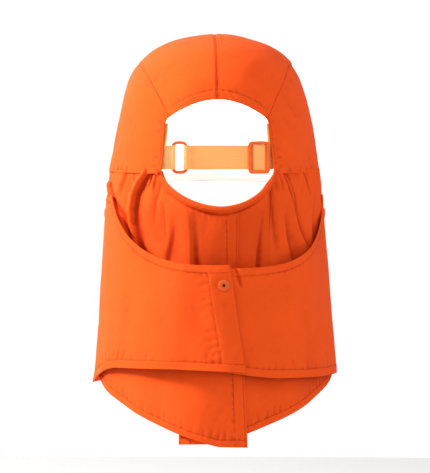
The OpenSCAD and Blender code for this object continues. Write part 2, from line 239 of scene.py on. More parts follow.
# -------------------- meshes
def settle(o):
    """Applies an object's modifiers."""
    bpy.context.view_layer.update()
    me = bpy.data.meshes.new_from_object(o.evaluated_get(bpy.context.evaluated_depsgraph_get()))
    o.modifiers.clear()
    old = o.data
    o.data = me
    me.name = o.name
    bpy.data.meshes.remove(old)


def smooth_shade(o, angle=None):
    me = o.data
    me.polygons.foreach_set("use_smooth", np.ones(len(me.polygons), bool))
    if angle:
        me.set_sharp_from_angle(angle=math.radians(angle))
    me.update()


def mesh_object(name, verts, faces, smooth_faces=True):
    me = bpy.data.meshes.new(name)
    me.from_pydata([tuple(v) for v in verts], [], [tuple(f) for f in faces])
    me.update()
    o = bpy.data.objects.new(name, me)
    scene.collection.objects.link(o)
    if smooth_faces:
        smooth_shade(o)
    return o


def face_out(o, weld=False):
    """Turns all faces outward; weld first joins points that coincide."""
    bm = bmesh.new()
    bm.from_mesh(o.data)
    if weld:
        bmesh.ops.remove_doubles(bm, verts=bm.verts, dist=1e-7)
        bmesh.ops.dissolve_degenerate(bm, edges=bm.edges, dist=1e-8)
    bmesh.ops.recalc_face_normals(bm, faces=bm.faces)
    bm.to_mesh(o.data)
    bm.free()


def round_edges(o, width):
    m = o.modifiers.new("edge", "BEVEL")
    m.limit_method, m.angle_limit, m.width, m.segments = "ANGLE", math.radians(55), width * MM, 2
    settle(o)
    smooth_shade(o)


def shell(name, outer, inner, S, flip=False):
    """A closed sheet between two grids of points. S is its weave map, 1 unit per 100 mm when stored."""
    nu, nv = outer.shape[:2]
    idx, m = np.arange(nu * nv).reshape(nu, nv), nu * nv
    a, b, c, d = idx[:-1, :-1], idx[1:, :-1], idx[1:, 1:], idx[:-1, 1:]
    quads = np.stack([a, d, c, b] if flip else [a, b, c, d], axis=-1).reshape(-1, 4)
    rim = np.concatenate([idx[:, 0], idx[-1, 1:], idx[-2::-1, -1], idx[0, -2:0:-1]])
    nxt = np.roll(rim, -1)
    rims = np.stack([rim, nxt, nxt + m, rim + m] if flip else [rim, rim + m, nxt + m, nxt], axis=-1)
    me = bpy.data.meshes.new(name)
    points = np.concatenate([outer.reshape(-1, 3), inner.reshape(-1, 3)]) * MM
    me.from_pydata(points.tolist(), [], np.concatenate([quads, quads[:, ::-1] + m, rims]).tolist())
    loops = np.zeros(len(me.loops), np.int64)
    me.loops.foreach_get("vertex_index", loops)
    uv = np.concatenate([S.reshape(-1, 2)] * 2) * 0.01
    me.uv_layers.new(name="weave").data.foreach_set("uv", uv[loops].astype(np.float32).ravel())
    o = bpy.data.objects.new(name, me)
    scene.collection.objects.link(o)
    return o


# -------------------- cloth panels
def grid_normals(P):
    return unit(np.cross(np.gradient(P, axis=0), np.gradient(P, axis=1)))


def arcs(P):
    """Lengths along a grid: from its first side, from its last, from its lower edge and from its upper."""
    du, dv = (np.linalg.norm(np.diff(P, axis=k), axis=-1) for k in (0, 1))
    su = np.concatenate([np.zeros((1, P.shape[1])), np.cumsum(du, axis=0)])
    sv = np.concatenate([np.zeros((P.shape[0], 1)), np.cumsum(dv, axis=1)], axis=1)
    return su, su[-1:] - su, sv, sv[:, -1:] - sv


class Cloth:
    """A panel of cloth: f(u, v) gives points, relief(u, v, P) how far they stand out."""

    def __init__(self, f, nu, nv, relief, outward=None):
        self.u, self.v = np.linspace(0, 1, nu + 1), np.linspace(0, 1, nv + 1)
        U, V = np.meshgrid(self.u, self.v, indexing="ij")
        P = f(U, V)
        N = grid_normals(P)
        ref = outward(P) if outward else P - stack(0, 0, np.minimum(P[..., 2], 20))
        self.flip = bool(np.mean(np.sum(N * ref, axis=-1)) < 0)
        turn = -1 if self.flip else 1
        R = relief(U, V, P)
        self.P = P + N * turn * R[..., None]
        self.N = grid_normals(self.P) * turn
        # 0 to 1 in grooves and folds: painted shade, which darkens the colour where shade falls in them
        self.painted_shade = (np.clip((blurred(R, 2) - R) * 2.4 - 0.07, 0, 0.5) +
                       np.clip((blurred(R, 9) - R) * 0.30 - 0.03, 0, 0.5))
        su, _, sv, _ = arcs(self.P)
        self.S = np.stack([su - su[nu // 2][None, :], sv], axis=-1)

    def across(self, at, upper=False):
        """For every u, the v at a distance from the lower edge, or from the upper."""
        _, _, s, s1 = arcs(self.P)
        return np.array([np.interp(-at, -b, self.v) if upper else np.interp(at, a, self.v) for a, b in zip(s, s1)])

    def along(self, at, last=False):
        """For every v, the u at a distance from the first side, or from the last."""
        s, s1, _, _ = arcs(self.P)
        return [np.interp(-at, -b, self.u) if last else np.interp(at, a, self.u) for a, b in zip(s.T, s1.T)]

    def at(self, u, v):
        """Points and normals of the finished surface."""
        nu, nv = len(self.u) - 1, len(self.v) - 1
        x, y = np.clip(u, 0, 1) * nu, np.clip(v, 0, 1) * nv
        i, j = np.minimum(x.astype(int), nu - 1), np.minimum(y.astype(int), nv - 1)
        s, t = (x - i)[..., None], (y - j)[..., None]

        def pick(G):
            return (G[i, j] * (1 - s) * (1 - t) + G[i + 1, j] * s * (1 - t) +
                    G[i, j + 1] * (1 - s) * t + G[i + 1, j + 1] * s * t)
        return pick(self.P), unit(pick(self.N))

    def mesh(self, name, thick=1.0):
        """A closed sheet with rounded edges."""
        o = shell(name, self.P, self.P - self.N * thick, self.S, self.flip)
        # the painted shade is stored on the sheet's points, on both its faces
        painted_shade_layer = o.data.attributes.new("painted_shade", "FLOAT", "POINT")
        painted_shade_layer.data.foreach_set("value", np.tile(np.clip(self.painted_shade, 0, 1).ravel(), 2).astype(np.float32))
        round_edges(o, thick * 0.4)
        return o


def tube_faces(base, rings, m):
    """The faces of a closed tube whose rings of m points start at base."""
    end = base + (rings - 1) * m
    quads = [(i + k, i + (k + 1) % m, i + (k + 1) % m + m, i + k + m) for i in range(base, end, m) for k in range(m)]
    return quads + [tuple(base + k for k in range(m - 1, -1, -1)), tuple(end + k for k in range(m))]


class Threads:
    """Rows of stitches, gathered into one mesh."""
    RINGS = [(-1.0, 0.25), (-0.8, 0.75), (-0.35, 1.0), (0.35, 1.0), (0.8, 0.75), (1.0, 0.25)]
    SIDES = 6

    def __init__(self):
        self.v, self.f = [], []

    def stitch(self, p, n, t, length, r, lift):
        b = np.cross(n, t)
        base = len(self.v)
        for s, w in self.RINGS:
            c = p + t * (s * length / 2) + n * (lift - 0.5 * r * s * s)
            for k in range(self.SIDES):
                q = k * math.pi / 3
                self.v.append((c + (n * math.sin(q) * 0.8 + b * math.cos(q)) * r * w) * MM)
        self.f += tube_faces(base, len(self.RINGS), self.SIDES)

    def row(self, P, N, pitch=2.9, length=2.1, r=0.23, lift=0.1):
        """Stitches along a line of points with normals."""
        s = run_along(P)

        def put(G, x):
            return np.array([np.interp(x, s, G[:, i]) for i in range(3)])
        for q in 0.5 + pitch * (np.arange(int((s[-1] - 0.5) / pitch)) + 0.5):
            if q + length / 2 > s[-1]:
                break
            n = unit(put(N, q))
            t = put(P, q + length / 2) - put(P, q - length / 2)
            self.stitch(put(P, q), n, unit(t - n * (t @ n)), length, r, lift)

    def on(self, cloth, u, v, n=400, **kw):
        """A row over a cloth through the places u, v."""
        u, v = np.broadcast_arrays(np.asarray(u, float), np.asarray(v, float))
        if len(u) != n:
            x, y = np.linspace(0, 1, n), np.linspace(0, 1, len(u))
            u, v = np.interp(x, y, u), np.interp(x, y, v)
        self.row(*cloth.at(u, v), **kw)

    def mesh(self, name):
        return mesh_object(name, self.v, self.f)


# -------------------- materials
def linear(r, g, b):
    return tuple(((c / 255 + 0.055) / 1.055) ** 2.4 if c > 10 else c / 255 / 12.92 for c in (r, g, b)) + (1.0,)


class Nodes:
    """A short way to build a node material."""

    def __init__(self, name):
        self.m = bpy.data.materials.new(name)
        self.m.use_nodes = True
        self.t = self.m.node_tree
        self.t.nodes.clear()
        out = self.add("ShaderNodeOutputMaterial")
        self.b = self.add("ShaderNodeBsdfPrincipled")
        self.t.links.new(self.b.outputs[0], out.inputs[0])

    def add(self, kind, inputs=(), **props):
        n = self.t.nodes.new(kind)
        for k, v in props.items():
            setattr(n, k, v)
        for k, v in dict(inputs).items():
            self.put(n, k, v)
        return n

    def put(self, n, socket, value):
        if isinstance(value, bpy.types.NodeSocket):
            self.t.links.new(value, n.inputs[socket])
        else:
            n.inputs[socket].default_value = value

    def math(self, op, a, b=0.0, c=None):
        inputs = {0: a, 1: b} if c is None else {0: a, 1: b, 2: c}
        return self.add("ShaderNodeMath", inputs, operation=op).outputs[0]

    def noise(self, vector, scale, detail=3.0, rough=0.5):
        inputs = {"Vector": vector, "Scale": scale, "Detail": detail, "Roughness": rough}
        return self.add("ShaderNodeTexNoise", inputs).outputs["Fac"]

    def ramp(self, fac, stops):
        n = self.add("ShaderNodeValToRGB", {"Fac": fac})
        e = n.color_ramp.elements
        e[0].position, e[0].color = stops[0]
        e[1].position, e[1].color = stops[-1]
        for at, colour in stops[1:-1]:
            e.new(at).color = colour
        return n.outputs["Color"]

    def mixc(self, fac, a, b):
        inputs = {"Factor": fac, 6: a, 7: b}
        return self.add("ShaderNodeMix", inputs, data_type="RGBA", blend_type="MIX").outputs[2]

    def bump(self, height, distance):
        n = self.add("ShaderNodeBump", {"Height": height, "Distance": distance, "Strength": 1.0})
        self.put(self.b, "Normal", n.outputs[0])

    def finish(self, rough, gloss):
        self.put(self.b, "Roughness", rough)
        self.put(self.b, "Specular IOR Level", gloss)
        return self.m


def shade(c, k):
    return (c[0] * k, c[1] * k, c[2] * k, 1.0)


def woven(name, colour, pitch=0.42, rough=0.82, slub=0.13, depth=0.00006, ribs=False, creases=0.0, dip=0.22):
    """Plain-woven cloth: the weave map runs 1 unit per 100 mm of cloth."""
    n = Nodes(name)
    weave = n.add("ShaderNodeUVMap", uv_map="weave").outputs[0]
    sep = n.add("ShaderNodeSeparateXYZ", {0: weave})
    k = 2 * math.pi * 100 / pitch
    warp = n.math("SINE", n.math("MULTIPLY", sep.outputs[0], k))
    weft = n.math("SINE", n.math("MULTIPLY", sep.outputs[1], k * 0.36 if ribs else k))
    height = n.math("MULTIPLY", warp, weft)
    if ribs:
        height = n.math("MULTIPLY_ADD", weft, 0.55, n.math("MULTIPLY", height, 0.45))
    maps = (n.add("ShaderNodeMapping", {"Vector": weave, "Scale": k}) for k in ((14, 260, 1), (260, 14, 1)))
    slubs = n.math("ADD", *(n.noise(m.outputs[0], 3.0, 2.0) for m in maps))
    obj = n.add("ShaderNodeTexCoord").outputs["Object"]
    cloud = n.noise(obj, 22.0, 5.0, 0.65)
    fac = n.math("ADD", n.math("MULTIPLY", slubs, 0.3), n.math("MULTIPLY", cloud, 0.4))
    c = n.ramp(fac, [(0.30, shade(colour, 1 - slub)), (0.50, colour), (0.70, shade(colour, 1 + slub))])
    # the weave's dips are painted darker: painted shade between the threads
    painted_dip_shade = n.math("MULTIPLY_ADD", height, 0.5, 0.5)
    c = n.mixc(n.math("MULTIPLY_ADD", painted_dip_shade, -dip, dip), c, shade(colour, 0.62))
    # painted shade: the colour darkens in grooves, folds and seams by the shade stored on the mesh
    if creases:
        dark = n.add("ShaderNodeAttribute", attribute_name="painted_shade").outputs["Fac"]
        deep = (colour[0] * 0.50, colour[1] * 0.26, colour[2] * 0.2, 1.0)
        c = n.mixc(n.math("MULTIPLY", dark, creases), c, deep)
    n.put(n.b, "Base Color", c)
    n.put(n.b, "Sheen Weight", 0.05)
    n.put(n.b, "Sheen Roughness", 0.45)
    n.put(n.b, "Sheen Tint", shade(colour, 1.0))
    n.bump(n.math("ADD", height, n.math("MULTIPLY", slubs, 1.2)), depth)
    return n.finish(rough, 0.08)


def moulded(name, colour, rough=0.34, gloss=0.5):
    n = Nodes(name)
    obj = n.add("ShaderNodeTexCoord").outputs["Object"]
    cloud = n.noise(obj, 120.0)
    n.put(n.b, "Base Color", n.ramp(cloud, [(0.3, shade(colour, 0.88)), (0.7, shade(colour, 1.08))]))
    n.bump(n.noise(obj, 1500.0, 2.0), 0.00002)
    return n.finish(n.math("MULTIPLY_ADD", n.noise(obj, 400.0), 0.22, rough - 0.1), gloss)


def thread(name, colour):
    n = Nodes(name)
    fibres = n.noise(n.add("ShaderNodeTexCoord").outputs["Object"], 900.0, 2.0)
    n.put(n.b, "Base Color", n.ramp(fibres, [(0.3, shade(colour, 0.85)), (0.7, shade(colour, 1.1))]))
    return n.finish(0.75, 0.1)


ORANGE = (0.84, 0.083, 0.0085, 1.0)
PEACH = (0.92, 0.42, 0.13, 1.0)
# a lighter copy of the strap's webbing, for the tab: painted light where the tab lies in shade
PEACH_PAINTED_LIGHT = (0.95, 0.49, 0.185, 1.0)
webbing = dict(pitch=0.8, rough=0.62, slub=0.04, depth=0.00007, ribs=True, dip=0.06)
M = {
    "cloth": woven("cloth_orange", ORANGE, creases=0.95),
    "binding": woven("cloth_orange_binding", shade(ORANGE, 0.94), pitch=0.5, creases=0.95),
    "pale": woven("cloth_pale", linear(250, 246, 240), pitch=0.5, slub=0.03),
    "sweat": woven("cloth_sweatband", linear(248, 242, 232), pitch=0.9, slub=0.04, depth=0.00012),
    "tape": woven("cloth_peach", PEACH, pitch=0.7, slub=0.05),
    "web": woven("webbing_peach", PEACH, **webbing),
    "web_painted_light": woven("webbing_light", PEACH_PAINTED_LIGHT, **webbing),
    "buckle": moulded("buckle_plastic", linear(228, 92, 16), 0.36, 0.28),
    "snap": moulded("snap_enamel", (0.66, 0.088, 0.010, 1.0), 0.36, 0.22),
    # near-black: painted shadow for the inside of the snap's hole
    "snap_painted_shadow": moulded("snap_shadow", (0.006, 0.002, 0.001, 1.0), 0.7),
    "metal": moulded("snap_metal", (0.60, 0.12, 0.05, 1.0), 0.4),
    "board": moulded("brim_board", linear(236, 236, 232), 0.5),
    "thread": thread("thread_orange", (0.52, 0.040, 0.006, 1.0)),
    "thread_pale": thread("thread_peach", linear(244, 160, 96)),
}


def dress(o, material, body=None, nodes=()):
    o.data.materials.clear()
    o.data.materials.append(M[material])
    if nodes:
        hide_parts(*nodes)
    if body:
        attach(o, body)
    return o


def cad_material(name, material):
    """Gives a CAD node, otherwise unchanged, a better material."""
    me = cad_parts[name].data
    me.materials.clear()
    me.materials.append(M[material])


# -------------------- crown
cap_threads, pale_threads = Threads(), Threads()
SIDES = ((-1, "left"), (1, "right"))


def edge_roll(d, deep=0.5, w=1.3):
    """How a sewn edge turns under, by the distance from it."""
    return -deep * gauss(d, w) + 0.22 * gauss(d - 3.0, 1.6)


def stitched(d, at, s, pucker=0.12, length=6.2):
    """The groove and puckers of a row of stitches at a distance from an edge; s runs along it."""
    run = ripple(s, 2 * math.pi / length, 1.6, 0.21)
    return -(0.20 + 0.05 * run) * gauss(d - at, 0.7) + pucker * 0.9 * gauss(d - at, 2.4) * run


def turned(d, width, height, soft=1.0):
    """The step of cloth folded double, from an edge as far as width."""
    return height * (1 - smooth((d - width) / soft))


def angle_of(P):
    return deg(np.arctan2(P[..., 0] / 91, -P[..., 1] / 103))


def crown_top(side, word):
    nu, curve = 230, 1.35

    def f(u, v):
        a = side * mix(0, 180, u)
        P = on_dome(a, mix(dome_t(top_edge_z(a)), 89.9, v ** curve))
        # the halves overlap a little at the middle, so that nothing shows between them
        return P - stack(side * 0.55 * gauss(P[..., 0], 1.3), 0, 0)

    def relief(u, v, P):
        su, _, sv, _ = arcs(P)
        a, x, s = 180 * u, np.abs(P[..., 0]), su[:, :1]
        r = 0.9 * wander(P, 70, 1) + 0.16 * wander(P, 21, 2) + fine(P, 0.04) - 0.05 * crumple(tall(P, 0.7), 52, 3)
        r = r + edge_roll(x, 0.7, 1.1) + stitched(x, MIDDLE_ROW, np.abs(P[..., 1]) + P[..., 2], 0.10)
        r = r + smooth((a - 30) / 4) * (edge_roll(sv) + stitched(sv, SEAM_ROW, s))
        arch = turned(sv, 7.2, 0.34, 1.6) + stitched(sv, ARCH_ROW, s, 0.15, 8.5)
        arch = arch + (0.05 + 0.08 * (side > 0)) * gauss(sv - 6.0, 5.5) * ripple(s, 0.92, 2.0, 0.13, 0.5 * sv)
        return r + (1 - smooth((a - 27) / 5)) * arch
    c = Cloth(f, nu, 110, relief)
    # painted shade along the seam with the side panel
    c.painted_shade = c.painted_shade + 0.85 * gauss(arcs(c.P)[2], 0.8) * smooth((c.u[:, None] * 180 - 30) / 3)
    x, y, z = np.moveaxis(c.P, -1, 0)
    c.S = np.stack([x, y + z * np.where(y < 0, -0.8, 0.8)], axis=-1)
    # stitches: beside the middle seam, above the side seam, and along the arch
    v = np.linspace(0.03, 0.88, 300)
    for middle in (0.0, 180.0):
        t = mix(dome_t(top_edge_z(middle)), 89.9, v ** curve)
        radius = np.linalg.norm(on_dome(middle + 0 * t, t)[..., :2], axis=-1)
        u = deg(np.arcsin(np.clip(MIDDLE_ROW / np.maximum(radius, 3), 0, 1))) / 180
        wide = radius > 9
        cap_threads.on(c, np.abs(u - middle / 180)[wide], v[wide])
    for a, row in ((np.linspace(33, 179, 300), SEAM_ROW), (np.linspace(0.6, 30.5, 200), ARCH_ROW)):
        cap_threads.on(c, a / 180, c.across(row)[(a / 180 * nu).astype(int)])
    dress(c.mesh("crown_top_cloth_" + word, 1.1), "cloth", "cap", ["crown_top_" + word])


def crown_side(side, word):
    low, under = -2.6, 1.6  # how far it reaches below the hem and up under the crown's top

    def f(u, v):
        a = mix(OPEN_A, FRONT_SEAM_A, u)
        z = mix(low, side_seam_z(a) + under, v)
        # the opening's upper corner is round
        a = mix(OPEN_A - 1.9 * np.clip((z - 40.5) / 5.5, 0, 1.15) ** 2, FRONT_SEAM_A, u)
        return on_crown_and_below(side * a, z, 0.9 * smooth((v - 1) * 28 + 1) * (z > 0))

    def relief(u, v, P):
        su, su1, sv, _ = arcs(P)
        r = 0.8 * wander(P, 72, 3) + 0.16 * wander(P, 23, 4) - 0.05 * crumple(tall(P, 0.6), 48, 6)
        r = r + edge_roll(su1) + 0.35 * (1 - smooth(sv / 2.2)) + fine(P, 0.04)
        r = r - 0.3 * gauss(su, 0.9) + turned(su, 2.2, 0.2, 0.8) + stitched(su, OPENING_ROW, sv, 0.14)
        r = r + 0.16 * gauss(su - 8, 3) * np.sin(sv * 0.8) + 0.06 * gauss(sv - 4, 3) * ripple(su, 0.9, 2, 0.17)
        return r + turned(sv, 2.5, 0.12, 7) * ripple(su, 0.55, 2, 0.11)
    c = Cloth(f, 140, 78, relief)
    # painted shade in the seam just under the crown top's edge
    c.painted_shade = c.painted_shade + 0.85 * gauss(arcs(c.P)[3] - 2.2, 0.9)
    rows = slice(0, 72)
    cap_threads.on(c, c.along(OPENING_ROW)[rows], c.v[rows])
    dress(c.mesh("crown_side_cloth_" + word, 1.1), "cloth", "cap", ["crown_side_" + word])


def crown_front():
    def f(u, v):
        a = mix(FRONT_SEAM_A, 360 - FRONT_SEAM_A, u)
        return on_crown_and_below(a, mix(-1.6, side_seam_z(np.where(a > 180, 360 - a, a)), v))

    def relief(u, v, P):
        su, su1, sv, sv1 = arcs(P)
        r = 0.5 * wander(P, 60, 5) - 0.1 * crumple(P, 46, 7) + edge_roll(sv1) + edge_roll(sv, 0.4)
        for d in (su, su1):
            r = r + edge_roll(d) + stitched(d, SEAM_ROW, sv, 0.1)
        return r
    c = Cloth(f, 100, 66, relief)
    for last in (False, True):
        cap_threads.on(c, c.along(SEAM_ROW, last), c.v)
    dress(c.mesh("crown_front_cloth", 1.1), "cloth", "cap", ["crown_front_panel"])


for side, word in SIDES:
    crown_top(side, word)
    crown_side(side, word)
crown_front()

# the lining, the facing of the arch, the tape under the middle seam and the band inside the hem
def inward(P):
    return -(P - stack(0, 0, np.minimum(P[..., 2], 20)))


def facing_point(u, v):
    a = mix(-29.5, 29.5, u)
    return on_crown(a, arch_z(a) + mix(0.5, 8.2, v), 2.4)


def seam_tape_point(u, v):
    t = mix(dome_t(ARCH_TOP + 2), 76, v ** 1.3)
    radius = np.linalg.norm(on_dome(0 * t, t, 2.4)[..., :2], axis=-1)
    return on_dome(deg(np.arcsin(np.clip(mix(-4.5, 4.5, u) / radius, -1, 1))), t, 2.4)


def band_point(u, v):
    a = mix(33.5, 326.5, u)
    return on_crown_and_below(a, mix(0.4 - 3.0 * smooth((70 - np.abs(180 - a)) / 10), 36, v), 2.15)


def band_relief(u, v, P):
    return 0.45 * (1 - (2 * v - 1) ** 6) + 0.16 * np.sin(arcs(P)[0] * 0.9) * gauss(v - 0.9, 0.15)


lining = Cloth(lambda u, v: on_dome(mix(70, 290, u), mix(dome_t(34.6), 80, v ** 1.4), 2.9), 150, 60,
               lambda u, v, P: 0.3 * wander(P, 45, 6) + 0.9 * gauss(P[..., 0], 3.0), inward)
pale_threads.on(lining, np.linspace(0.005, 0.995, 200), 0.02, pitch=3.4)
dress(lining.mesh("crown_lining_cloth", 0.7), "pale", "cap", ["crown_lining"])

facing = Cloth(facing_point, 90, 8, lambda u, v, P: 0.12 * np.sin(P[..., 0] * 0.9), inward)
dress(facing.mesh("arch_facing_cloth", 0.8), "cloth", "cap", ["arch_facing"])

tape = Cloth(seam_tape_point, 10, 90, lambda u, v, P: 0.1 * np.sin(P[..., 1] * 1.1), inward)
dress(tape.mesh("crown_seam_tape_cloth", 0.5), "cloth", "cap", ["crown_seam_tape"])

band = Cloth(band_point, 300, 26, band_relief, inward)
for v in (0.07, 0.93):
    pale_threads.on(band, np.linspace(0.003, 0.997, 400), v, pitch=3.2)
dress(band.mesh("sweatband_cloth_piece", 0.6), "sweat", "cap", ["sweatband"])

for side, word in SIDES:
    edge = Cloth(lambda u, v: on_crown(side * mix(31.1, 33.6, u), mix(20.5, 41, v), 1.75), 8, 50,
                 lambda u, v, P: 0.08 * np.sin(P[..., 2] * 1.3))
    dress(edge.mesh("opening_edge_tape_" + word, 0.55), "tape", "cap")


# -------------------- brim
BRIM_ROWS = (0.16, 0.36, 0.56, 0.76, 0.93)


def brim_slope(b):
    """How steeply the brim falls outward; b is 0 at its middle and 1 at its ends."""
    return np.tan(rad(10 + 14 * b * b))


def brim_point(u, v, drop):
    b = mix(-1, 1, u)
    root = on_crown(180 - 55 * b, 0 * b, 1.0)
    rim = stack(80 * np.sin(rad(90 * b)), 58 + (CROWN_D - 58 + 66) * np.clip(np.cos(rad(90 * b)), 0, 1) ** 0.9, 0 * b)
    p = root * (1 - v[..., None]) + rim * v[..., None]
    reach = np.linalg.norm((rim - root)[..., :2], axis=-1)
    return stack(p[..., 0], p[..., 1], drop - v * reach * brim_slope(b))


def brim_edge(u, v):
    """A band bent round the brim's rim, from its lower side to its upper."""
    q, b = math.pi * (v - 0.5), mix(-1, 1, u)
    out = unit(stack(np.sin(rad(90 * b)), np.clip(np.cos(rad(90 * b)), 0, 1), 0 * b))
    reach = -2.6 + 3.4 * np.cos(q)
    z = -2.15 + 2.75 * np.sin(q) - reach * brim_slope(b)
    return brim_point(u, 1 + 0 * v, 0) + out * reach[..., None] + stack(0, 0, z)


def brim_relief(u, v, P):
    r = 0.25 * wander(P, 40, 7)
    for k in BRIM_ROWS:
        r = r - 0.28 * gauss(v - k, 0.012)
    return r + 0.05 * np.sin(P[..., 0] * 1.1)


def upward(P):
    return stack(0 * P[..., 0], 0, 1)


top = Cloth(lambda u, v: brim_point(u, 0.98 * v, -0.3), 190, 90, brim_relief, upward)
for k in BRIM_ROWS:
    cap_threads.on(top, np.linspace(0.02, 0.98, 300), k)
dress(top.mesh("brim_top_cloth", 0.8), "cloth", "cap", ["brim_cover_top"])
under = Cloth(lambda u, v: brim_point(u, 0.98 * v, -4.0), 190, 60, brim_relief, lambda P: -upward(P))
dress(under.mesh("brim_under_cloth", 0.8), "pale", "cap", ["brim_cover_bottom"])
rim = Cloth(brim_edge, 260, 14, lambda u, v, P: 0.08 * np.sin(arcs(P)[0]), lambda P: P - stack(0, 60, -8))
dress(rim.mesh("brim_edge_cloth", 0.5), "pale", "cap", ["brim_edge_binding"])
cad_material("brim_board", "board")


# -------------------- neck cape
def fold(P, path, width, depth, top=2.0, bottom=-120.0, fade=40.0, grow=None, soft=5.0):
    """Where a fold runs down the cape and how deep: path and grow are (height, value) pairs, depth is outward."""
    z = P[..., 2]
    s = rad(angle_of(P) - np.interp(z, *zip(*sorted(path)))) * 98
    w = np.interp(z, *zip(*sorted(grow))) if grow else 1.0
    return s / width, depth * smooth((top - z) / soft + 1) * smooth((z - bottom) / fade) * w


def valley(P, path, width, depth, **kw):
    q, d = fold(P, path, width, depth, **kw)
    return -d * np.exp(-np.abs(q) ** 1.6) + d * 0.45 * (gauss(q - 2.0, 1.1) + gauss(q + 2.0, 1.1))


def ridge(P, path, width, height, **kw):
    q, d = fold(P, path, width, height, **kw)
    return d * np.exp(-np.abs(q) ** 1.3)


def pleat(P, path, left, steep, right, height, g=1.0, **kw):
    """A fold that rises slowly, drops steeply on its right and recovers further on."""
    q, d = fold(P, path, 1.0, height, **kw)
    return d * np.where(q < 0, gauss(q, left), (1 + g) * gauss(q, steep) - g * gauss(q, right))


# each fold: its shape, its path of (height, angle) pairs, its sizes, and where it starts and ends
LEFT_FOLDS = [
    (pleat, [(-2, -43), (-10, -48), (-21, -53.5), (-34, -57), (-47, -58), (-59, -56.5), (-95, -52)],
     6.0, 3.0, 15.0, 3.3, dict(bottom=-125, g=1.1)),
    (pleat, [(-16, -86), (-31, -74), (-40, -67.5), (-56, -62.5), (-95, -58)], 7.0, 3.4, 10.0, 2.6, dict(top=-14)),
    (valley, [(-8, -32.5), (-18, -35), (-28, -38), (-40, -40)], 3.4, 1.1, dict(bottom=-52, fade=24)),
    (pleat, [(-46, -29), (-58, -30.5), (-75, -33.5), (-95, -36)], 9.0, 3.6, 11.0, 1.3, dict(top=-62, soft=34)),
    (pleat, [(-30, -17.8), (-58, -16.8), (-82, -16.8), (-95, -17)], 13.0, 5.0, 14.0, 1.6,
     dict(top=-50, soft=34, grow=[(-95, 1.6), (-80, 1.5), (-50, 0.8), (-30, 0.5)])),
    (ridge, [(-60, -10), (-95, -10.5)], 7.0, 0.8, dict(top=-60, soft=24)),
    (valley, [(-30, -5), (-50, -7)], 9.0, 0.7, dict(top=-34, bottom=-70, fade=24, soft=16)),
    (pleat, [(-2, -37), (-9, -38), (-20, -40)], 2.6, 1.6, 4.0, 1.2, dict(top=0.5, bottom=-24, fade=14)),
    (pleat, [(-2, -40.2), (-8, -41.5), (-14, -43)], 2.0, 1.3, 3.0, 0.9, dict(top=0.5, bottom=-18, fade=10)),
    (pleat, [(-2, -62), (-10, -64), (-20, -68)], 6.0, 2.4, 6.0, 1.0, dict(top=0.5, bottom=-28, fade=16)),
]
RIGHT_FOLDS = [
    (pleat, [(-6, 66.5), (-20, 65.5), (-47, 65), (-62, 65.5), (-95, 66)], 15.0, 3.2, 8.0, 3.4, {}),
    (pleat, [(-2, 37.5), (-14, 41.5), (-30, 47), (-50, 53.6), (-67, 60), (-95, 68)], 9.0, 1.7, 5.0, 3.0, dict(g=0.9)),
    (pleat, [(-3, 41), (-12, 44.5), (-22, 48), (-34, 51)], 2.4, 1.2, 3.0, 0.9, dict(bottom=-44, fade=16)),
    (valley, [(-10, 29), (-20, 31.5), (-40, 35), (-60, 38)], 5.0, 1.2, dict(top=-4, bottom=-84)),
    (pleat, [(-14, 24.5), (-45, 23.6), (-62, 22.6), (-84, 21.8), (-95, 21.6)], 12.0, 4.4, 12.0, 1.6,
     dict(top=-46, soft=34, grow=[(-95, 1.7), (-82, 1.6), (-55, 0.9), (-20, 0.5)])),
    (ridge, [(-55, 29), (-95, 28.5)], 7.0, 0.8, dict(top=-60, soft=26)),
    (pleat, [(-40, 41), (-66, 46), (-80, 49)], 6.0, 3.2, 8.0, 1.0, dict(top=-64, bottom=-110, fade=30, soft=30)),
    (pleat, [(-2, 34.5), (-8, 35.5), (-18, 38)], 2.0, 1.3, 3.4, 1.1, dict(top=0.5, bottom=-22, fade=12)),
    (pleat, [(-2, 54), (-12, 57), (-24, 61)], 5.0, 2.0, 5.0, 1.0, dict(top=0.5, bottom=-30, fade=16)),
    (pleat, [(-2, 79), (-20, 79), (-44, 80)], 5.0, 2.6, 6.0, 1.3, dict(top=0.5, bottom=-60, fade=24)),
]


